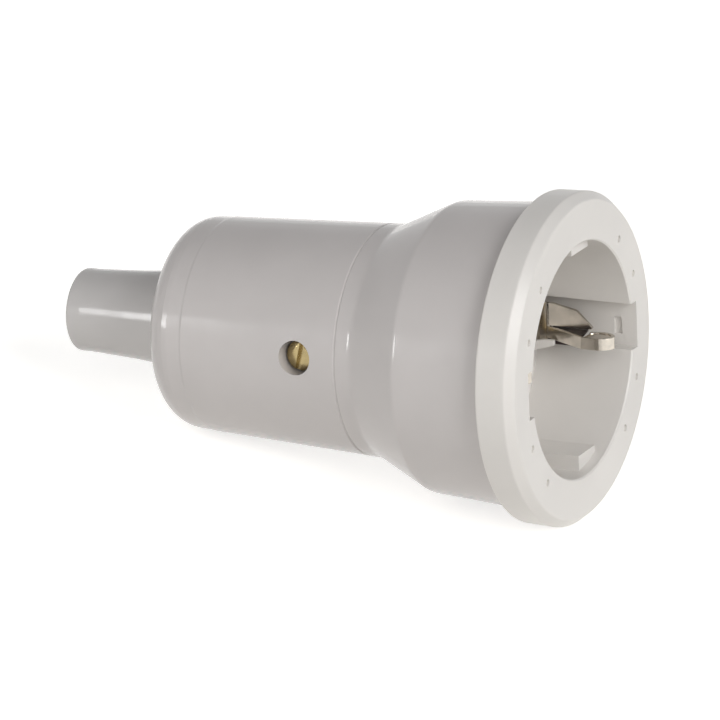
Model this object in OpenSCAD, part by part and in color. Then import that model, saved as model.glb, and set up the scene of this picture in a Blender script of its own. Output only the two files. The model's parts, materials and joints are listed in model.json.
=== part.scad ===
// Rewireable earthed coupler: white socket insert in a two-part grey housing with a rubber boot.
// Every piece is drawn upright, mating face down at height 0 and the cord end up, then laid on
// its side. In that upright frame x is the pin line, y is the earth line and z is the station.
// Laid down, the face looks along +X, the pin line is vertical and the earth line is along Y.

/* [Mating face] */
// Diameter of the recess that takes the plug
recess_d = 39.5; // [39:0.1:40.5]
// Depth of the recess
recess_depth = 17.5; // [16.5:0.1:18.5]
// Spacing of the two pin holes
pin_pitch = 19; // [18.6:0.1:19.4]
// Diameter of a pin hole in the recess floor
pin_hole_d = 5.4; // [5.2:0.1:5.8]
// Thickness of the recess floor
floor_t = 3; // [2.4:0.1:3.6]
// Width of each earth channel in the recess wall
channel_w = 8; // [7.8:0.1:8.4]
// Distance from the axis to the bottom of an earth channel
channel_r = 21.4; // [21.2:0.1:21.6]
// Width of each guide rib
rib_w = 6.4; // [5:0.1:7]
// Distance from the axis to the flat of a guide rib
rib_flat = 17.2; // [16.8:0.1:17.8]
// Set-back of the rib ends behind the face
rib_setback = 2.1; // [1:0.1:4]
// Shift of the guide ribs from the pin line towards the far earth clip
rib_shift = 4.4; // [0:0.1:4.6]
// Diameter of the small round marks on the face
dimple_d = 1.2; // [0.8:0.1:1.4]
// Depth of the small round marks
dimple_depth = 0.4; // [0.2:0.1:0.6]
// Radius of the circle the marks stand on
dimple_circle_r = 22.5; // [22.3:0.1:24]

/* [Collar] */
// Largest diameter of the white collar
collar_d = 55.6; // [54:0.2:58]
// Length of the collar
collar_len = 6.8; // [6:0.1:8]
// Axial length of the collar's front chamfer
chamfer_len = 1.6; // [1:0.1:2]
// Radial height of the collar's front chamfer
chamfer_h = 1.3; // [0.8:0.1:1.8]

/* [Bell] */
// Diameter of the bell where it meets the collar
bell_d = 51; // [50:0.2:52]
// Diameter of the bell at its shoulder
shoulder_d = 48.7; // [48:0.1:49.6]
// Station of the shoulder
shoulder_at = 23.4; // [22.8:0.1:24.4]
// Station where the cone meets the waist
waist_at = 33.2; // [32.6:0.1:34]
// Diameter of the waist
waist_d = 39.2; // [38.6:0.2:40]
// Station of the parting line between bell and handle
parting_at = 36.2; // [35.6:0.1:37]
// Wall of the bell
bell_wall = 2.3; // [2:0.1:2.6]

/* [Handle] */
// Diameter of the handle at the parting line
handle_d = 38.9; // [38.4:0.1:39.4]
// Diameter of the handle at its rear edge
handle_rear_d = 36.2; // [35.4:0.2:36.8]
// Station of the rear edge line
edge_at = 65.2; // [62:0.2:68]
// Length of the rounded end behind the edge line
end_len = 8; // [7.4:0.2:10]
// Radius of the rounding between the side and the end
end_round = 5.1; // [3:0.1:6]
// Bore of the handle over the neck
handle_bore_d = 34; // [33.4:0.2:34.4]
// Thickness of the end wall
end_wall = 3; // [2.6:0.1:3.6]

/* [Boot] */
// Diameter of the boot where it leaves the handle
boot_d = 16.6; // [16:0.2:17.4]
// Diameter of the boot at its tip
boot_tip_d = 14.1; // [13.6:0.1:14.8]
// Length of the boot outside the handle
boot_len = 19.8; // [16:0.2:26]
// Bore of the boot for the cord
cord_d = 9; // [8:0.2:10]
// Thickness of the flange that holds the boot in the handle
boot_flange_t = 2.4; // [2:0.1:3]

/* [Contacts] */
// Bore of a contact sleeve
sleeve_bore_d = 4.9; // [4.86:0.02:5]
// Outer diameter of a contact sleeve
sleeve_d = 6.8; // [6.6:0.1:7.2]
// Depth of the sleeve bore
sleeve_bore_len = 10; // [9:0.5:11]
// Width of the slits that make a sleeve springy
sleeve_slit = 0.6; // [0.4:0.1:0.8]
// Length of the terminal barrel behind the bore
barrel_len = 8; // [7.5:0.5:9]
// Thickness of the earth clip sheet
clip_t = 0.6; // [0.5:0.05:0.8]
// Thickness of the earth bridge
bridge_t = 1.2; // [1:0.1:1.5]
// Distance from the axis to the contact nose of an earth clip
nose_r = 14; // [13.6:0.1:14.8]
// Distance from the axis to the back of an earth clip
clip_back_r = 17.5; // [17.3:0.1:18]
// Width of the contact tongue
tongue_w = 2.7; // [2.2:0.1:3.2]

/* [Screws] */
// Station of the side screw
side_screw_at = 43.6; // [43:0.2:44.4]
// Angle of the side screw from the earth line
side_screw_turn = 5; // [0:0.5:8]
// Diameter of the side screw's head
side_head_d = 5.2; // [5:0.1:5.4]
// Depth of that head under the handle's surface
side_head_depth = 2.2; // [1.8:0.1:2.4]
// Diameter of the screw shanks
shank_d = 3.4; // [3:0.1:3.6]
// Diameter of the inner screws' heads
head_d = 6; // [5.4:0.1:6.2]
// Width of the screwdriver slots
slot_w = 0.9; // [0.7:0.1:1.1]
// Thickness of the moulded bar that clamps the cord
bar_t = 3; // [2.4:0.2:3.6]

/* [Hidden] */
$fn = 96;

// Clearances and allowances
fit = 0.1;            // between pieces that slot together
thread_fit = 0.05;    // between a screw and its thread, all round
slack = 0.3;          // between a sprung piece and its seat
hole_fit = 0.25;      // around a screw in a through hole
over = 0.5;           // by which a cut runs past a face
edge = 0.25;          // fine bevel of moulded and turned edges

// Radii
recess_r = recess_d / 2;
collar_r = collar_d / 2;
face_r = collar_r - chamfer_h;
waist_r = waist_d / 2;
handle_front_r = handle_d / 2;
pin_at = pin_pitch / 2;
cup_r = bell_d / 2 - bell_wall;              // outside of the recess cup
skirt_t = 1.1;
rear_bore_r = handle_rear_d / 2 - 2.6;       // inside of the handle at its rear edge
end_bore_r = rear_bore_r - 2.6;              // and at the end wall
boot_flange_r = end_bore_r - 2 * hole_fit;
neck_r = handle_bore_d / 2 - fit;
neck_wall = 2.4;
neck_bore_r = neck_r - neck_wall;
carrier_r = neck_bore_r - fit;
flange_r = carrier_r - 1;                    // opening of the bell's inner flange
plug_r = flange_r - fit;                     // carrier's nose in that opening
barrel_d = sleeve_d + 0.6;
head_h = 1.9;
small_head_h = 1.6;
tower_r = barrel_d / 2 + 1.4;

// Stations, from the mating face to the cord
floor_back = recess_depth + floor_t;
bridge_at = floor_back + slack;              // front of the earth bridge
foot_at = bridge_at + bridge_t + slack;      // front of a clip's foot
flange_at = foot_at + clip_t + 0.9;          // front of the bell's inner flange
flange_t = 2.2;
carrier_at = flange_at + flange_t;           // front of the carrier's disc
carrier_t = 3;
neck_len = 10.5;
neck_end = parting_at + neck_len;
sleeve_at = floor_back + slack;              // front of the contact sleeves
sleeve_bore_end = sleeve_at + sleeve_bore_len;
sleeve_end = sleeve_bore_end + barrel_len;
tower_end = sleeve_bore_end - 1;
barrel_seat = tower_end + fit;
terminal_at = sleeve_bore_end + barrel_len / 2 + 0.6;
end_at = edge_at + end_len;
end_inner = end_at - end_wall;
boot_end = end_at + boot_len;

// Laying the upright pieces on their side
module lay() { rotate([0, -90, 0]) children(); }

module turned(points) { rotate_extrude() polygon(points); }

module rod(d, from, to) { translate([0, 0, from]) cylinder(d = d, h = to - from); }

// A hole or rod along -y, from the axis outwards
module cross_rod(d, h, at) { translate([0, 0, at]) rotate([90, 0, 0]) cylinder(d = d, h = h, $fn = 64); }

// Both sides of the pin line, and both sides of the earth line
module at_pins() { for (side = [1, -1]) translate([side * pin_at, 0, 0]) children(); }
module both_clips() { for (a = [0, 180]) rotate([0, 0, a]) children(); }

// Points of the arc of radius r that rounds corner b between points a and c
function unit(v) = v / norm(v);
function rounded(a, b, c, r, n = 6) =
    let (u = unit(a - b),
         v = unit(c - b),
         half = acos(u * v) / 2,
         centre = b + unit(u + v) * r / sin(half),
         p = b + u * r / tan(half) - centre,
         q = b + v * r / tan(half) - centre,
         from = atan2(p[1], p[0]),
         turn = atan2(q[1], q[0]) - from,
         sweep = turn > 180 ? turn - 360 : turn < -180 ? turn + 360 : turn)
    [for (i = [0:n]) centre + r * [cos(from + sweep * i / n), sin(from + sweep * i / n)]];

// Radius at station s of a line from (s0, r0) to (s1, r1)
function draft(s, s0, r0, s1, r1) = r0 + (r1 - r0) * (s - s0) / (s1 - s0);
function handle_r(s) = draft(s, parting_at, handle_front_r, edge_at, handle_rear_d / 2);
function cone_r(s) = draft(s, shoulder_at, shoulder_d / 2, waist_at, waist_r);

// A slotted screw, tip down and head up, with the underside of the head at height 0
module slotted_screw(shank, length, head, head_h, dome) {
    tip = 0.5;
    slot_depth = 0.5 * head_h;
    difference() {
        turned(concat(
            [[0, -length], [shank / 2 - tip, -length], [shank / 2, -length + tip], [shank / 2, 0],
             [head / 2 - 0.15, 0], [head / 2, 0.15]],
            [for (a = [0:18:90]) [head / 2 * cos(a), head_h - dome + dome * sin(a)]]));
        translate([-slot_w / 2, -head, head_h - slot_depth]) cube([slot_w, 2 * head, head_h]);
    }
}

// White moulding: collar, recess with ribs and earth channels, floor and skirt
insert_head_h = 1.5;     // the central screw's head, sunk flush in the floor
channel_slot_r = 12;     // inner end of a channel's slot through the floor
window_at = 2.7;         // small window in a channel's bottom, for the moulding's lock
window_len = 1.4;
window_w = 2.9;
window_x = -2;
window_depth = 0.5;

module insert_outside() {
    corner = [collar_r, chamfer_len];
    rear = [collar_r - 0.2, collar_len];
    skirt_end = flange_at - fit;
    turned(concat(
        [[0, 0]],
        rounded([0, 0], [face_r, 0], corner, 0.5, 3),
        rounded([face_r, 0], corner, rear, 0.6, 3),
        rounded(corner, rear, [cup_r, collar_len], 0.35, 3),
        [[cup_r, collar_len], [cup_r - 0.4, floor_back], [cup_r - 1.5, skirt_end],
         [cup_r - 1.5 - skirt_t, skirt_end], [cup_r - 0.4 - skirt_t, floor_back], [0, floor_back]]));
}

// Guide rib on the wall of the recess, at x > 0 or mirrored to x < 0
module rib() {
    root = 0.7;
    translate([rib_flat, rib_shift - rib_w / 2, rib_setback])
        cube([recess_r + root - rib_flat, rib_w, recess_depth - rib_setback + over]);
}

module dimples() {
    for (side = [90, 270], a = [-46.7, -23.5, 23.5, 46.7])
        rotate([0, 0, side + a]) translate([dimple_circle_r, 0, -over])
            cylinder(d = dimple_d, h = dimple_depth + over, $fn = 24);
}

module earth_channel() {
    translate([-channel_w / 2, 0, -over]) cube([channel_w, channel_r, recess_depth + over]);
    translate([-channel_w / 2, channel_slot_r, recess_depth - over])
        cube([channel_w, channel_r - channel_slot_r, floor_t + 2 * over]);
    translate([window_x, channel_r - over, window_at]) cube([window_w, over + window_depth, window_len]);
}

module socket_insert() {
    color([0.90, 0.89, 0.86]) lay() difference() {
        union() {
            difference() {
                insert_outside();
                rod(recess_d, -over, recess_depth);
                translate([0, 0, -0.01]) cylinder(r1 = recess_r + edge, r2 = recess_r, h = edge);
                both_clips() earth_channel();
            }
            rib();
            mirror([1, 0, 0]) rib();
        }
        at_pins() rod(pin_hole_d, recess_depth - over, floor_back + over);
        at_pins() translate([0, 0, recess_depth - 0.01])
            cylinder(d1 = pin_hole_d + 1.6, d2 = pin_hole_d, h = 0.8);
        rod(head_d + 2 * hole_fit, recess_depth - over, recess_depth + insert_head_h);
        rod(shank_d + 2 * hole_fit, recess_depth, floor_back + over);
        dimples();
    }
}

// Lug in the bell's neck, boss in the handle and the stack of sizes along the side screw
boss_half_w = 4;
lug_half_w = 5.8;
side_head_h = 1.7;
nut_af = 6;
nut_t = 2.5;
side_head_seat = handle_r(side_screw_at) - side_head_depth - side_head_h;
boss_inner = side_head_seat - 1.3;
lug_outer = boss_inner - slack;
lug_inner = lug_outer - nut_t - 1.5;

module side_screw_place() { rotate([0, 0, side_screw_turn]) children(); }

// Grey bell: shell with an inner flange, a waist and the neck that enters the handle
module bell_outside() {
    front = [bell_d / 2, collar_len];
    shoulder = [shoulder_d / 2, shoulder_at];
    waist = [waist_r, waist_at];
    parting = [handle_front_r, parting_at];
    turned(concat(
        [[0, collar_len]],
        rounded([0, collar_len], front, shoulder, edge, 2),
        rounded(front, shoulder, waist, 2.6, 4),
        rounded(shoulder, waist, parting, 3, 4),
        [[handle_front_r + 0.02, parting_at - edge], [handle_front_r - 0.15, parting_at],
         [neck_r, parting_at], [neck_r, neck_end - edge], [neck_r - edge, neck_end], [0, neck_end]]));
}

module bell_inside() {
    turned([[0, collar_len - over], [cup_r + fit, collar_len - over], [cup_r + fit, collar_len],
            [cup_r - 0.4 + fit, floor_back], [cup_r - 1.5 + fit, flange_at], [flange_r, flange_at],
            [flange_r, carrier_at], [cone_r(carrier_at) - bell_wall - 0.3, carrier_at],
            [waist_r - bell_wall - 0.2, waist_at], [neck_bore_r, parting_at - 0.6],
            [neck_bore_r, neck_end + over], [0, neck_end + over]]);
}

module neck_lug() {
    intersection() {
        translate([-lug_half_w, -neck_r, side_screw_at - 4.6]) cube([2 * lug_half_w, neck_r - lug_inner, 7.6]);
        rod(2 * neck_r - 1, parting_at, neck_end);
    }
}

module front_bell() {
    slot_w2 = boss_half_w + slack;
    pocket = nut_af / 2 + fit;
    color([0.72, 0.705, 0.69]) lay() difference() {
        union() {
            difference() {
                bell_outside();
                bell_inside();
            }
            side_screw_place() neck_lug();
        }
        side_screw_place() {
            translate([-slot_w2, -neck_r - 1, parting_at + slack])
                cube([2 * slot_w2, neck_r + 1 - lug_outer, neck_len + over]);
            cross_rod(shank_d + 2 * hole_fit, neck_r, side_screw_at);
            translate([-pocket, -lug_inner - nut_t, side_screw_at - pocket])
                cube([2 * pocket, nut_t + over, 2 * pocket]);
        }
    }
}

// Grey handle: drafted tube with a rounded end and the inner boss under the side screw
module handle_outside() {
    rear = [handle_rear_d / 2, edge_at];
    step = [handle_rear_d / 2 - 0.1, edge_at + 0.35];
    corner = [handle_rear_d / 2 - 0.4, end_at - 0.6];
    flat = [boot_d / 2 + 1, end_at];
    turned(concat(
        [[0, parting_at], [handle_front_r - 0.15, parting_at], [handle_front_r, parting_at + edge], rear],
        [step],
        rounded(step, corner, flat, end_round, 8),
        [flat, [0, end_at]]));
}

module handle_inside() {
    bore = handle_bore_d / 2;
    turned([[0, parting_at - over], [bore, parting_at - over], [bore, neck_end + 1],
            [bore - 0.8, neck_end + 2], [rear_bore_r, edge_at], [end_bore_r, end_inner], [0, end_inner]]);
}

module rear_handle() {
    color([0.72, 0.705, 0.69]) lay() difference() {
        union() {
            difference() {
                handle_outside();
                handle_inside();
            }
            side_screw_place() intersection() {
                translate([-boss_half_w, -waist_r, parting_at + 2 * slack])
                    cube([2 * boss_half_w, waist_r - boss_inner, neck_end + 3 - parting_at]);
                rod(handle_bore_d + 1, parting_at, edge_at);
            }
        }
        rod(boot_d + 2 * fit, end_inner - over, end_at + over);
        side_screw_place() {
            cross_rod(shank_d + 2 * hole_fit, waist_r, side_screw_at);
            translate([0, -side_head_seat, 0]) cross_rod(side_head_d + 0.6, waist_r, side_screw_at);
        }
    }
}

// Rubber boot with its flange inside the handle
module cord_boot() {
    root = boot_d / 2;
    tip = boot_tip_d / 2;
    lip = 2.8;
    flange_front = end_inner - boot_flange_t;
    color([0.66, 0.65, 0.64]) lay() turned(concat(
        [[cord_d / 2, flange_front], [boot_flange_r, flange_front], [boot_flange_r, end_inner],
         [root, end_inner], [root, end_at], [(root + tip) / 2 - 0.15, (end_at + boot_end - lip) / 2],
         [tip, boot_end - lip]],
        rounded([tip, boot_end - lip], [tip, boot_end], [0, boot_end], 0.7, 4),
        [[cord_d / 2 + 0.6, boot_end], [cord_d / 2, boot_end - 0.6]]));
}

// Moulded carrier: disc behind the bell's flange, towers for the sleeves, tongue for the cord clamp
tongue_y = 5.2;
tongue_t = 3.8;
tongue_half_w = 8.6;
tongue_reach = 13;
tongue_end = neck_end + tongue_reach;
clamp_len = 8;
clamp_at = tongue_end - clamp_len / 2 - 1;
clamp_x = 6.4;
clamp_shank = 3;
tab_half_w = 3;
tab_y = 3;
boss_r = 3;
boss_end = carrier_at + carrier_t + 1.6;
thread_end = boss_end - 1;

// Raised ribs that grip the cord, along x at the given height
module grip_ribs(at, h, spread) {
    for (side = [1, -1]) translate([-3.4, at, clamp_at + side * spread - 0.5]) cube([6.8, h, 1]);
}

module carrier_body() {
    rod(2 * plug_r, flange_at + slack, carrier_at);
    rod(2 * carrier_r, carrier_at, carrier_at + carrier_t);
    intersection() {
        at_pins() rod(2 * tower_r, carrier_at, tower_end);
        rod(2 * carrier_r, carrier_at, tower_end);
    }
    // pad that holds the earth bridge down, and the boss for the insert's screw
    translate([-bridge_half_w, -2 * boss_r, bridge_at + bridge_t + fit])
        cube([2 * bridge_half_w, 4 * boss_r, carrier_at - bridge_at - bridge_t]);
    rod(2 * boss_r, carrier_at, boss_end);
    intersection() {
        translate([-tongue_half_w, tongue_y, carrier_at])
            cube([2 * tongue_half_w, tongue_t, tongue_end - carrier_at]);
        rod(2 * carrier_r, carrier_at, tongue_end);
    }
    grip_ribs(tongue_y - 0.6, 0.8, 2.4);
}

module contact_carrier() {
    color([0.30, 0.24, 0.20]) lay() difference() {
        carrier_body();
        at_pins() rod(sleeve_d + 2 * fit, flange_at - over, tower_end + over);
        at_pins() rod(barrel_d + 2 * fit, tower_end, tongue_end);
        rod(shank_d + 2 * thread_fit, bridge_at, thread_end);
        // passage for the earth tab
        translate([-tab_half_w - hole_fit, tab_y - hole_fit, bridge_at])
            cube([2 * (tab_half_w + hole_fit), bridge_t + 2 * hole_fit, tower_end - bridge_at]);
        for (side = [1, -1]) translate([side * clamp_x, tongue_y + tongue_t + over, 0])
            cross_rod(clamp_shank + 2 * thread_fit, tongue_t + 2 * over, clamp_at);
    }
}

// Turned brass sleeve: slit socket in front, wire barrel behind
module contact_sleeve() {
    slit_len = sleeve_bore_len - 2;
    wire_d = 3.2;
    color([0.80, 0.62, 0.28]) difference() {
        turned([[0, sleeve_at], [sleeve_d / 2 - edge, sleeve_at], [sleeve_d / 2, sleeve_at + edge],
                [sleeve_d / 2, barrel_seat], [barrel_d / 2, barrel_seat],
                [barrel_d / 2, sleeve_end - edge], [barrel_d / 2 - edge, sleeve_end], [0, sleeve_end]]);
        rod(sleeve_bore_d, sleeve_at - over, sleeve_bore_end);
        rod(wire_d, sleeve_bore_end + 1, sleeve_end + over);
        translate([-sleeve_slit / 2, -sleeve_d, sleeve_at - over])
            cube([sleeve_slit, 2 * sleeve_d, slit_len + over]);
        cross_rod(shank_d + 2 * thread_fit, barrel_d, terminal_at);
    }
}
module line_sleeve() { lay() translate([pin_at, 0, 0]) contact_sleeve(); }
module neutral_sleeve() { lay() translate([-pin_at, 0, 0]) contact_sleeve(); }

// Open ring of steel that closes the slit sleeve, in front of the carrier
module sleeve_spring() {
    ring_at = sleeve_at + 0.5;
    ring_len = 1.2;
    ring_t = 0.7;
    gap = 1.8;
    color([0.62, 0.63, 0.65]) difference() {
        rod(sleeve_d + 2 * ring_t, ring_at, ring_at + ring_len);
        rod(sleeve_d + 2 * thread_fit, ring_at - over, ring_at + ring_len + over);
        translate([0, -gap / 2, ring_at - over]) cube([sleeve_d, gap, ring_len + 2 * over]);
    }
}
module line_sleeve_spring() { lay() translate([pin_at, 0, 0]) sleeve_spring(); }
module neutral_sleeve_spring() { lay() mirror([1, 0, 0]) translate([pin_at, 0, 0]) sleeve_spring(); }

// Screw that clamps a wire in a sleeve's barrel
module terminal_screw() {
    head_at = barrel_d / 2 + slack;
    color([0.74, 0.72, 0.66]) translate([0, -head_at, terminal_at]) rotate([90, 0, 0])
        slotted_screw(shank_d, head_at - 0.4, 4.6, small_head_h, 0.4);
}
module line_terminal_screw() { lay() translate([pin_at, 0, 0]) terminal_screw(); }
module neutral_terminal_screw() { lay() translate([-pin_at, 0, 0]) terminal_screw(); }

// Earth bridge: a strip behind the recess floor that carries both clips, with the terminal tab
bridge_half_w = 3.4;
bridge_end = 16;
rivet_y = 14.2;
rivet_d = 2.2;
rivet_head_d = 3.4;
tab_end = sleeve_end - 1;
earth_screw_at = tab_end - 3.6;
wire_plate_t = 0.9;

module earth_bridge() {
    color([0.80, 0.66, 0.34]) lay() difference() {
        union() {
            translate([-bridge_half_w, -bridge_end, bridge_at])
                cube([2 * bridge_half_w, 2 * bridge_end, bridge_t]);
            translate([-tab_half_w, tab_y, bridge_at]) cube([2 * tab_half_w, bridge_t, tab_end - bridge_at]);
        }
        both_clips() translate([0, rivet_y, 0]) rod(rivet_d + 2 * thread_fit, bridge_at - over, foot_at);
        rod(shank_d + 2 * hole_fit, bridge_at - over, foot_at);
        translate([0, tab_y + bridge_t + over, 0])
            cross_rod(shank_d + 2 * thread_fit, bridge_t + 2 * over, earth_screw_at);
    }
}

module clip_rivets() {
    top = foot_at + clip_t + 0.2;
    color([0.78, 0.76, 0.72]) lay() both_clips() translate([0, rivet_y, 0]) {
        rod(rivet_head_d, bridge_at - 0.25, bridge_at);
        rod(rivet_d, bridge_at - 0.25, top + 0.1);
        translate([0, 0, top]) cylinder(d1 = rivet_head_d, d2 = rivet_head_d - 1, h = 0.4);
    }
}

// Sprung earth clip: foot under the rivet, a joggled back, a guard tongue with a slanted end and
// a contact tongue that leans in to its nose and turns out again before its rolled tip
clip_split_at = 14.2;
guard_side = 3.8;        // edge of the guard tongue
contact_side = 3.4;      // edge of the contact tongue, on the other side
joggle = 0.7;            // step of the back behind the split
joggle_len = 1.6;
guard_low = 0.3;
nose_at = 6.6;
roll_at = 3.9;
roll_out = 3;            // from the nose out to the roll
tip_at = 2.1;
tip_out = 2.5;

// Centre line of the contact tongue, with its corners rounded, from the split to the tip
function tongue_line() =
    let (root = [clip_back_r, clip_split_at + over],
         nose = [nose_r, nose_at],
         roll = [nose_r + roll_out, roll_at],
         tip = [nose_r + tip_out, tip_at])
    concat([root], rounded(root, nose, roll, 1, 5), rounded(nose, roll, tip, 1.1, 5), [tip]);

// Points of a line moved sideways by d, for a bent sheet
function moved(line, d) = [for (i = [0:len(line) - 1])
    let (a = line[max(i - 1, 0)],
         b = line[min(i + 1, len(line) - 1)],
         along = unit(b - a))
    line[i] + d * [-along[1], along[0]]];

module sheet(line, t) {
    back_line = moved(line, t);
    polygon(concat(line, [for (i = [len(line) - 1:-1:0]) back_line[i]]));
}

module earth_clip() {
    back = clip_back_r;
    full_w = guard_side + contact_side;
    foot_in = rivet_y - 2;
    rear_back = back + joggle;
    difference() {
        translate([-contact_side, foot_in, foot_at]) cube([full_w, rear_back + clip_t - foot_in, clip_t]);
        translate([0, rivet_y, 0]) rod(rivet_d + 2 * hole_fit, foot_at - over, foot_at + clip_t + over);
    }
    translate([-contact_side, 0, 0]) rotate([90, 0, 90]) linear_extrude(full_w) polygon([
        [back, clip_split_at], [back, clip_split_at + over], [rear_back, clip_split_at + over + joggle_len],
        [rear_back, foot_at + over], [rear_back + clip_t, foot_at + over],
        [rear_back + clip_t, clip_split_at + over + joggle_len], [back + clip_t, clip_split_at + over],
        [back + clip_t, clip_split_at]]);
    translate([-contact_side, 0, 0]) rotate([90, 0, 90]) linear_extrude(tongue_w)
        sheet(tongue_line(), clip_t);
    translate([0, back + clip_t, 0]) rotate([90, 0, 0]) linear_extrude(clip_t) polygon([
        [guard_low, clip_split_at + over], [guard_low, 6.9], [guard_low + 0.3, 6.5], [2.8, 9.2],
        [guard_side, 13.4], [guard_side, clip_split_at + over]]);
}

module far_earth_clip() { color([0.74, 0.68, 0.56]) lay() earth_clip(); }
module near_earth_clip() { color([0.74, 0.68, 0.56]) lay() rotate([0, 0, 180]) earth_clip(); }

// Earth terminal: screw and loose plate on the bridge's tab
plate_y = tab_y - fit - wire_plate_t;
earth_head_y = plate_y - fit;

module earth_terminal_screw() {
    length = tab_y + bridge_t + 0.5 - earth_head_y;
    color([0.74, 0.72, 0.66]) lay() translate([0, earth_head_y, earth_screw_at]) rotate([90, 0, 0])
        slotted_screw(shank_d, length, head_d, head_h, 0.5);
}

module earth_wire_plate() {
    half = 3.2;
    color([0.78, 0.78, 0.76]) lay() difference() {
        translate([-half, plate_y, earth_screw_at - half]) cube([2 * half, wire_plate_t, 2 * half]);
        translate([0, tab_y, 0]) cross_rod(shank_d + hole_fit, tab_y, earth_screw_at);
    }
}

// Screw from the recess floor through the bridge into the carrier's boss
module insert_screw() {
    seat = recess_depth + insert_head_h;
    color([0.70, 0.70, 0.70]) lay() translate([0, 0, seat]) mirror([0, 0, 1])
        slotted_screw(shank_d, thread_end - slack - seat, head_d, insert_head_h, 0.3);
}

// Cord clamp: a moulded bar pulled towards the carrier's tongue by two screws
bar_y = cord_d / 2 + 0.8;

module cord_clamp_bar() {
    color([0.30, 0.24, 0.20]) lay() difference() {
        union() {
            translate([-tongue_half_w, -bar_y - bar_t, clamp_at - clamp_len / 2])
                cube([2 * tongue_half_w, bar_t, clamp_len]);
            grip_ribs(-bar_y - 0.1, 0.7, 1.4);
        }
        for (side = [1, -1]) translate([side * clamp_x, 0, 0])
            cross_rod(clamp_shank + 2 * hole_fit, bar_y + bar_t + over, clamp_at);
    }
}

module cord_clamp_screws() {
    length = bar_y + bar_t + tongue_y + tongue_t - 0.6;
    color([0.70, 0.70, 0.70]) lay() for (side = [1, -1])
        translate([side * clamp_x, -bar_y - bar_t, clamp_at]) rotate([90, 0, 0])
            slotted_screw(clamp_shank, length, 5, small_head_h, 0.5);
}

// Brass side screw sunk in the handle, and the nut that it pulls in the neck's lug
side_slot_angle = 78.4;

module side_screw() {
    color([0.80, 0.62, 0.28]) lay() side_screw_place()
        translate([0, -side_head_seat, side_screw_at]) rotate([90, 0, 0]) rotate([0, 0, side_slot_angle])
            slotted_screw(shank_d, side_head_seat - lug_inner + 0.8, side_head_d, side_head_h, 0.5);
}

module side_nut() {
    color([0.80, 0.62, 0.28]) lay() side_screw_place() difference() {
        translate([-nut_af / 2, -lug_inner - nut_t, side_screw_at - nut_af / 2]) cube([nut_af, nut_t, nut_af]);
        cross_rod(shank_d + 2 * thread_fit, neck_r, side_screw_at);
    }
}

socket_insert();
front_bell();
rear_handle();
cord_boot();
contact_carrier();
line_sleeve();
neutral_sleeve();
line_sleeve_spring();
neutral_sleeve_spring();
line_terminal_screw();
neutral_terminal_screw();
earth_bridge();
far_earth_clip();
near_earth_clip();
clip_rivets();
earth_terminal_screw();
earth_wire_plate();
insert_screw();
cord_clamp_bar();
cord_clamp_screws();
side_screw();
side_nut();
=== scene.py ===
# Studio scene of the earthed coupler: white socket insert, grey bell and handle, grey cord boot.
import json
from math import cos, pi, radians, sin

import bmesh
import bpy
from mathutils import Matrix, Vector


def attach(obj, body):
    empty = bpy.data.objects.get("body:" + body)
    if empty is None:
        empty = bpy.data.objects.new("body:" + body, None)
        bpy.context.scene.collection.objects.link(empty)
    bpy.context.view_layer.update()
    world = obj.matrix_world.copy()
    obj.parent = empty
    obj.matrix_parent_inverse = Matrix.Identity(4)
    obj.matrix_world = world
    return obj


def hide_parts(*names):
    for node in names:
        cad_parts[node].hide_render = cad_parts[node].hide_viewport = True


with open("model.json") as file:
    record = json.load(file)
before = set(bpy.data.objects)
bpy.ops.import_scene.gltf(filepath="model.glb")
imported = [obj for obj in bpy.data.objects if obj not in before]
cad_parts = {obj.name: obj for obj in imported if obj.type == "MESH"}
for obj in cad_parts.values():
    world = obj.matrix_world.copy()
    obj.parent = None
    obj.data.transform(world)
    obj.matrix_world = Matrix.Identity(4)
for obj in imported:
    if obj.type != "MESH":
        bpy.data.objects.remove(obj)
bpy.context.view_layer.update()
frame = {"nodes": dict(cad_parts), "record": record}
nodes = frame["nodes"]
MM = 0.001


# Camera: the photograph's view, with the coupler turned a little about its own axis
AZIMUTH = radians(26.206)
ELEVATION = radians(12.214)
AXIS_TURN = radians(5.5)
LOOK_AT = Vector((-40.881, 0, -3.897)) * MM
DISTANCE = 1215.65 * MM
LENS_MM = 365.05


def about_axis(v):
    """The vector v of the photograph's frame, in the part's frame."""
    c, s = cos(AXIS_TURN), sin(AXIS_TURN)
    return Vector((v[0], c * v[1] + s * v[2], -s * v[1] + c * v[2]))


RIGHT = about_axis((cos(AZIMUTH), sin(AZIMUTH), 0))
UP = about_axis((-sin(AZIMUTH) * sin(ELEVATION), cos(AZIMUTH) * sin(ELEVATION), cos(ELEVATION)))
BACK = about_axis((sin(AZIMUTH) * cos(ELEVATION), -cos(AZIMUTH) * cos(ELEVATION), sin(ELEVATION)))


def make_camera():
    data = bpy.data.cameras.new("camera")
    data.lens = LENS_MM
    data.sensor_width = 36
    data.clip_end = 20
    camera = bpy.data.objects.new("camera", data)
    bpy.context.scene.collection.objects.link(camera)
    place = about_axis(LOOK_AT) + BACK * DISTANCE
    turn = Matrix((RIGHT, UP, BACK)).transposed()
    camera.matrix_world = Matrix.Translation(place) @ turn.to_4x4()
    bpy.context.scene.camera = camera


make_camera()


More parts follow.
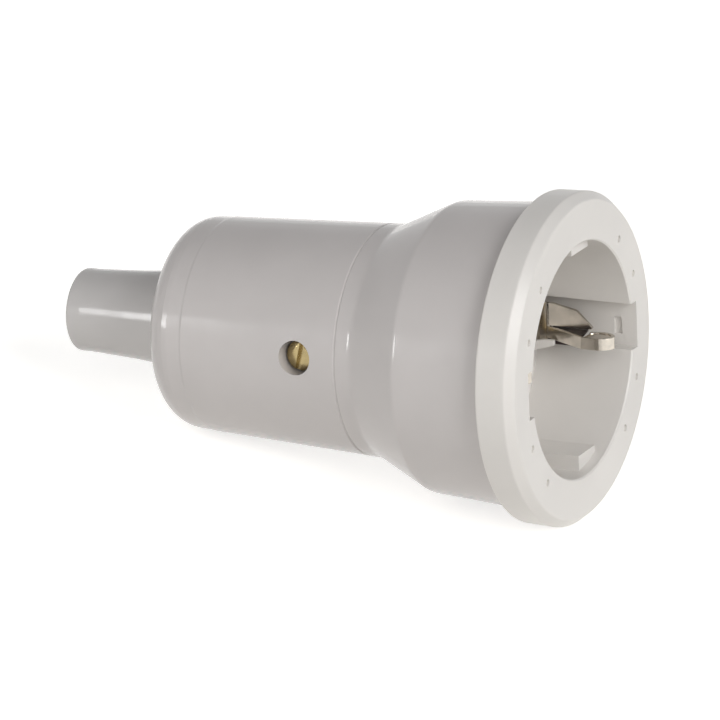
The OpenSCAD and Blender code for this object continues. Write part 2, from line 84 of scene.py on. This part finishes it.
# Small helpers for node trees
class Tree:
    """A material's node tree, built by short calls."""

    def __init__(self, name):
        self.material = bpy.data.materials.new(name)
        self.material.use_nodes = True
        self.tree = self.material.node_tree
        self.shader = self.tree.nodes["Principled BSDF"]
        self.place = self.add("ShaderNodeTexCoord").outputs["Object"]

    def add(self, kind, links=(), **values):
        node = self.tree.nodes.new(kind)
        for key, value in values.items():
            setattr(node, key, value)
        for socket, source in dict(links).items():
            if isinstance(source, bpy.types.NodeSocket):
                self.tree.links.new(source, node.inputs[socket])
            else:
                node.inputs[socket].default_value = source
        return node

    def noise(self, scale, detail=3, vector=None):
        links = {"Vector": vector or self.place, "Scale": scale, "Detail": detail}
        return self.add("ShaderNodeTexNoise", links).outputs["Fac"]

    def stretched(self, scale):
        return self.add("ShaderNodeMapping", {"Vector": self.place, "Scale": scale}).outputs["Vector"]

    def ramp(self, factor, low, high, start=0.3, end=0.7):
        node = self.add("ShaderNodeMapRange", {"Value": factor, "From Min": start, "From Max": end,
                                              "To Min": low, "To Max": high})
        return node.outputs["Result"]

    def mix(self, factor, a, b):
        node = self.add("ShaderNodeMix", data_type="RGBA")
        for index, value in ((0, factor), (6, a), (7, b)):
            if isinstance(value, bpy.types.NodeSocket):
                self.tree.links.new(value, node.inputs[index])
            else:
                node.inputs[index].default_value = value
        return node.outputs[2]

    def bump(self, height, distance, strength=1.0, normal=None):
        links = {"Height": height, "Distance": distance, "Strength": strength}
        if normal:
            links["Normal"] = normal
        return self.add("ShaderNodeBump", links).outputs["Normal"]

    def finish(self, **values):
        for key, value in values.items():
            socket = self.shader.inputs[key.replace("_", " ")]
            if isinstance(value, bpy.types.NodeSocket):
                self.tree.links.new(value, socket)
            else:
                socket.default_value = value
        return self.material


def rgba(r, g, b):
    return (r, g, b, 1)


def moulded_plastic(name, colour, roughness, ripple=0.00004):
    """Moulded thermoset or PVC: faint clouding, fine grain and a slow ripple in its gloss."""
    t = Tree(name)
    cloud = t.noise(60, 4)
    dark = rgba(*(c * 0.965 for c in colour))
    light = rgba(*(min(1, c * 1.03) for c in colour))
    base = t.mix(t.ramp(cloud, 0, 1), dark, light)
    grain = t.bump(t.noise(2600, 2), 0.000004, 0.5)
    wave = t.bump(t.noise(75, 1), ripple, 1.0, grain)
    rough = t.ramp(t.noise(240, 3), roughness * 0.88, roughness * 1.15)
    return t.finish(Base_Color=base, Roughness=rough, Normal=wave)


def soft_rubber(name, colour):
    t = Tree(name)
    base = t.mix(t.ramp(t.noise(90, 4), 0, 1), rgba(*(c * 0.95 for c in colour)), rgba(*colour))
    grain = t.bump(t.noise(1500, 3), 0.00001, 0.6)
    return t.finish(Base_Color=base, Roughness=t.ramp(t.noise(300), 0.14, 0.20), Normal=grain)


def plated_metal(name, colour, roughness, brushed=(60, 900, 900), tarnish=0.75):
    """Rolled or turned metal: fine scratches along one way and slightly darker patches."""
    t = Tree(name)
    patches = t.ramp(t.noise(420, 4), 0, 1, 0.35, 0.75)
    base = t.mix(patches, rgba(*colour), rgba(*(c * tarnish for c in colour)))
    scratch = t.noise(3, 4, t.stretched(brushed))
    rough = t.ramp(scratch, roughness * 0.75, roughness * 1.35)
    normal = t.bump(scratch, 0.00001, 0.5)
    return t.finish(Base_Color=base, Metallic=1.0, Roughness=rough, Normal=normal)


INSERT_WHITE = (0.77, 0.745, 0.715)
SHELL_GREY = (0.60, 0.57, 0.56)
finishes = {
    "insert_plastic": moulded_plastic("insert_plastic", INSERT_WHITE, 0.32),
    "bell_plastic": moulded_plastic("bell_plastic", SHELL_GREY, 0.13),
    "handle_plastic": moulded_plastic("handle_plastic", SHELL_GREY, 0.13),
    "boot_rubber": soft_rubber("boot_rubber", (0.62, 0.60, 0.59)),
    "carrier_plastic": moulded_plastic("carrier_plastic", (0.060, 0.038, 0.028), 0.42),
    "contact_brass": plated_metal("contact_brass", (0.50, 0.40, 0.25), 0.36),
    "spring_steel": plated_metal("spring_steel", (0.40, 0.40, 0.42), 0.35),
    "screw_steel": plated_metal("screw_steel", (0.66, 0.65, 0.62), 0.30),
    "clip_sheet": plated_metal("clip_sheet", (0.66, 0.61, 0.54), 0.17),
    "rivet_metal": plated_metal("rivet_metal", (0.66, 0.64, 0.60), 0.30),
    "side_brass": plated_metal("side_brass", (0.44, 0.35, 0.18), 0.22),
}
# Painted shade: a near-black sheet finish for the tongue flange and the lower ear, coloured dark to stand for the
# shade under and beside the contact tongue.
clip_painted_shade = plated_metal("clip_painted_shade", (0.07, 0.055, 0.055), 0.35)
for part in frame["record"]["subparts"]:
    node = nodes[part["node"]]
    node.data.materials.clear()
    node.data.materials.append(finishes[part["material_slot"]])


# Earth clips: one bent sheet each, with a guard tongue and a contact tongue that swells to a closed nose
SHEET = 0.6
BACK_R = 17.5
TONGUE_END = (6.6, 13.3)
NOSE_CENTRE = (4.15, 15.0)
NOSE_HALF = (2.4, 1.7)
NOSE_ARC = [(NOSE_CENTRE[0] + NOSE_HALF[0] * cos(radians(a)), NOSE_CENTRE[1] + NOSE_HALF[1] * sin(radians(a)))
            for a in range(-90, -336, -15)]
NOSE = [TONGUE_END] + NOSE_ARC
SET_BACK = {"far": (0, 0), "near": (0.6, 0.7)}
TONGUE_Z = (-2.7, -0.65)
# The tongue flange and the lower ear are dark plates that carry painted shade around the contact tongue.
TONGUE_FLANGE = ((13.8, 17.4), (7.3, 14.0), (6.9, 15.2), (7.4, 18.2), (13.8, 19.0))
LOWER_EAR = ((14.7, -3.7), (10.6, -3.7), (9.5, -3.4), (12.0, -2.5), (14.7, -2.5))
CLIP_BACK = ((14.2, BACK_R), (14.75, BACK_R), (16.3, 18.2), (22.9, 18.2), (22.9, 12.2))
GUARD_TONGUE = ((14.7, -0.55), (6.6, -0.55), (6.4, -0.2), (9.2, 2.5), (13.4, 3.4), (14.7, 3.4))


def bent_sheet_tree():
    """Geometry Nodes: a path becomes a sheet of even thickness with rounded bends."""
    tree = bpy.data.node_groups.new("bent_sheet", "GeometryNodeTree")
    tree.interface.new_socket("Geometry", in_out="INPUT", socket_type="NodeSocketGeometry")
    for name in ("Width", "Thickness", "Bend radius"):
        tree.interface.new_socket(name, in_out="INPUT", socket_type="NodeSocketFloat")
    tree.interface.new_socket("Finish", in_out="INPUT", socket_type="NodeSocketMaterial")
    tree.interface.new_socket("Geometry", in_out="OUTPUT", socket_type="NodeSocketGeometry")
    add, link = tree.nodes.new, tree.links.new
    sizes = add("NodeGroupInput").outputs
    upright = add("GeometryNodeSetCurveNormal")
    upright.mode = "Z_UP"
    fillet = add("GeometryNodeFilletCurve")
    fillet.mode = "POLY"
    fillet.inputs["Count"].default_value = 9
    fillet.inputs["Limit Radius"].default_value = True
    section = add("GeometryNodeCurvePrimitiveQuadrilateral")
    swept = add("GeometryNodeCurveToMesh")
    swept.inputs["Fill Caps"].default_value = True
    realized = add("GeometryNodeRealizeInstances")
    finished = add("GeometryNodeSetMaterial")
    link(sizes["Geometry"], fillet.inputs["Curve"])
    link(sizes["Bend radius"], fillet.inputs["Radius"])
    link(fillet.outputs["Curve"], upright.inputs["Curve"])
    link(upright.outputs["Curve"], swept.inputs["Curve"])
    link(sizes["Thickness"], section.inputs["Width"])
    link(sizes["Width"], section.inputs["Height"])
    link(section.outputs["Curve"], swept.inputs["Profile Curve"])
    link(swept.outputs["Mesh"], realized.inputs["Geometry"])
    link(realized.outputs["Geometry"], finished.inputs["Geometry"])
    link(sizes["Finish"], finished.inputs["Material"])
    link(finished.outputs["Geometry"], add("NodeGroupOutput").inputs["Geometry"])
    return tree


def bent_sheet(tree, path, low, high, bend):
    """A sheet along the (station, radius) path, between the heights low and high, all in mm."""
    curve = bpy.data.curves.new("sheet_path", "CURVE")
    curve.dimensions = "3D"
    spline = curve.splines.new("POLY")
    spline.points.add(len(path) - 1)
    for point, (station, radius) in zip(spline.points, path):
        point.co = (-station * MM, (radius + SHEET / 2) * MM, (low + high) / 2 * MM, 1)
    blank = bpy.data.objects.new("sheet_path", curve)
    bpy.context.scene.collection.objects.link(blank)
    modifier = blank.modifiers.new("bent_sheet", "NODES")
    modifier.node_group = tree
    values = {"Width": (high - low) * MM, "Thickness": SHEET * MM, "Bend radius": bend * MM,
              "Finish": finishes["clip_sheet"]}
    for socket in tree.interface.items_tree:
        if socket.name in values:
            modifier[socket.identifier] = values[socket.name]
    graph = bpy.context.evaluated_depsgraph_get()
    mesh = bpy.data.meshes.new_from_object(blank.evaluated_get(graph))
    bpy.data.objects.remove(blank)
    return mesh


def add_plate(bm, corners, lift):
    """A flat plate from its corners and the vector it is thickened by, in mm. Returns its faces."""
    before = set(bm.faces)
    face = bm.faces.new([bm.verts.new(Vector(corner) * MM) for corner in corners])
    grown = bmesh.ops.extrude_face_region(bm, geom=[face])["geom"]
    lifted = [v for v in grown if isinstance(v, bmesh.types.BMVert)]
    bmesh.ops.translate(bm, verts=lifted, vec=Vector(lift) * MM)
    return [f for f in bm.faces if f not in before]


def finished_piece(name, bm, slot, bevel):
    bmesh.ops.recalc_face_normals(bm, faces=bm.faces)
    mesh = bpy.data.meshes.new(name)
    bm.to_mesh(mesh)
    bm.free()
    mesh.materials.append(finishes[slot])
    mesh.shade_smooth()
    mesh.set_sharp_from_angle(angle=radians(35))
    piece = bpy.data.objects.new(name, mesh)
    bpy.context.scene.collection.objects.link(piece)
    rounding = piece.modifiers.new("edge", "BEVEL")
    rounding.width = bevel * MM
    rounding.segments = 2
    rounding.limit_method = "ANGLE"
    rounding.angle_limit = radians(40)
    rounding.harden_normals = True
    return piece


def make_clips():
    tree = bent_sheet_tree()
    for side, body, node in (("far", "far_clip", "far_earth_clip"), ("near", "near_clip", "near_earth_clip")):
        bm = bmesh.new()
        low, high = TONGUE_Z
        back, out = SET_BACK[side]
        nose = [(at + back, r + out) for at, r in NOSE]
        bm.from_mesh(bent_sheet(tree, [(14.7, BACK_R)] + nose, low, high, 0.5))
        bm.from_mesh(bent_sheet(tree, CLIP_BACK, -3.4, 3.4, 0.7))
        add_plate(bm, [(-at, BACK_R, z) for at, z in GUARD_TONGUE], (0, SHEET, 0))
        add_plate(bm, [(-at, r + SHEET / 2, high - 0.45) for at, r in nose], (0, 0, 0.3))
        flange = add_plate(bm, [(-at, r, high - 0.4) for at, r in TONGUE_FLANGE], (0, 0, 0.35))
        ear = add_plate(bm, [(-at, BACK_R, z) for at, z in LOWER_EAR], (0, SHEET, 0))
        # Painted shade: the flange and the ear take the near-black second finish.
        for face in flange + ear:
            face.material_index = 1
        if side == "near":
            bmesh.ops.rotate(bm, verts=bm.verts, cent=(0, 0, 0), matrix=Matrix.Rotation(pi, 3, "X"))
        clip = finished_piece(side + "_clip_sheet", bm, "clip_sheet", 0.07)
        clip.data.materials.append(clip_painted_shade)
        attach(clip, body)
        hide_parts(node)


def make_clip_posts():
    """Small moulded posts that stand on the recess floor beside the clips."""
    outline = ((12.6, -3.3), (17.8, -4.8), (17.8, -3.2), (14.6, -2.4), (12.6, -2.4))
    bm = bmesh.new()
    for turn in (0, pi):
        before = set(bm.verts)
        add_plate(bm, [(-at, 15.3, z) for at, z in outline], (0, 0.85, 0))
        fresh = [v for v in bm.verts if v not in before]
        bmesh.ops.rotate(bm, verts=fresh, cent=(0, 0, 0), matrix=Matrix.Rotation(turn, 3, "X"))
    posts = finished_piece("clip_posts", bm, "insert_plastic", 0.12)
    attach(posts, "housing")


make_clips()
make_clip_posts()


# Floor, backdrop light and lamps
COLLAR_FOOT = Vector((-6.5, 0, -27.70)) * MM
HANDLE_FOOT = Vector((-68.3, 0, -17.85)) * MM


def make_floor():
    along = (COLLAR_FOOT - HANDLE_FOOT).normalized()
    across = Vector((0, 1, 0))
    half = 3.0
    mesh = bpy.data.meshes.new("floor")
    corners = [COLLAR_FOOT + along * a * half + across * b * half for a, b in ((-1, -1), (1, -1), (1, 1), (-1, 1))]
    mesh.from_pydata(corners, [], [(0, 1, 2, 3)])
    floor = bpy.data.objects.new("floor", mesh)
    bpy.context.scene.collection.objects.link(floor)
    t = Tree("floor_white")
    rays = t.add("ShaderNodeLightPath").outputs
    seen = t.add("ShaderNodeMath", {0: rays["Is Camera Ray"], 1: rays["Is Glossy Ray"]}, operation="MAXIMUM")
    seen = t.add("ShaderNodeMath", {0: seen.outputs[0], 1: rays["Is Transmission Ray"]}, operation="MAXIMUM")
    t.finish(Base_Color=rgba(0.86, 0.84, 0.80), Roughness=0.9, Specular_IOR_Level=0.1,
             Emission_Color=rgba(1, 1, 1), Emission_Strength=t.ramp(seen.outputs[0], 0, 0.68, 0, 1))
    mesh.materials.append(t.material)


def make_world():
    """Pale surroundings, darker overhead. The camera sees plain white, and gloss sees the full gradient."""
    horizon, overhead, diffuse_share = 1.0, 0.18, 0.58
    world = bpy.data.worlds.new("studio")
    bpy.context.scene.world = world
    world.use_nodes = True
    tree = world.node_tree

    def ranged(value, start, end, low, high):
        node = tree.nodes.new("ShaderNodeMapRange")
        for name, number in (("From Min", start), ("From Max", end), ("To Min", low), ("To Max", high)):
            if isinstance(number, bpy.types.NodeSocket):
                tree.links.new(number, node.inputs[name])
            else:
                node.inputs[name].default_value = number
        tree.links.new(value, node.inputs["Value"])
        return node.outputs["Result"]

    path = tree.nodes.new("ShaderNodeLightPath").outputs
    axes = tree.nodes.new("ShaderNodeSeparateXYZ")
    tree.links.new(tree.nodes.new("ShaderNodeTexCoord").outputs["Generated"], axes.inputs[0])
    sky = ranged(axes.outputs["Z"], 0.0, 0.85, horizon, overhead)
    dim = ranged(axes.outputs["Z"], 0.0, 0.85, horizon * diffuse_share, overhead * diffuse_share)
    gloss = ranged(path["Is Glossy Ray"], 0, 1, dim, sky)
    clear = ranged(path["Is Transmission Ray"], 0, 1, gloss, sky)
    strength = ranged(path["Is Camera Ray"], 0, 1, clear, 1.0)
    tree.links.new(strength, tree.nodes["Background"].inputs["Strength"])
    tree.nodes["Background"].inputs["Color"].default_value = (1, 1, 1, 1)


def softbox(name, across, up, toward, size, watts, mirrored=True):
    """An area lamp placed in camera terms, in metres from the coupler's middle, and aimed at it.
    Gloss doesn't show it where mirrored is False."""
    data = bpy.data.lights.new(name, "AREA")
    data.shape = "RECTANGLE"
    data.size, data.size_y = size
    data.energy = watts
    lamp = bpy.data.objects.new(name, data)
    lamp.visible_glossy = mirrored
    bpy.context.scene.collection.objects.link(lamp)
    middle = LOOK_AT
    lamp.location = middle + RIGHT * across + UP * up + BACK * toward
    lamp.rotation_euler = (lamp.location - middle).to_track_quat("Z", "Y").to_euler()


make_floor()
make_world()
softbox("key_lamp", -0.35, 0.30, 1.10, (0.6, 0.6), 2.2)
softbox("strip_lamp", -1.10, -0.10, 0.478, (0.19, 0.55), 3.6)
softbox("rear_lamp", -0.30, 0.58, -1.00, (1.0, 0.35), 4, mirrored=False)
softbox("face_lamp", 0.62, 0.25, 0.90, (0.5, 0.7), 6.2)

bpy.context.scene.view_settings.view_transform = "Standard"
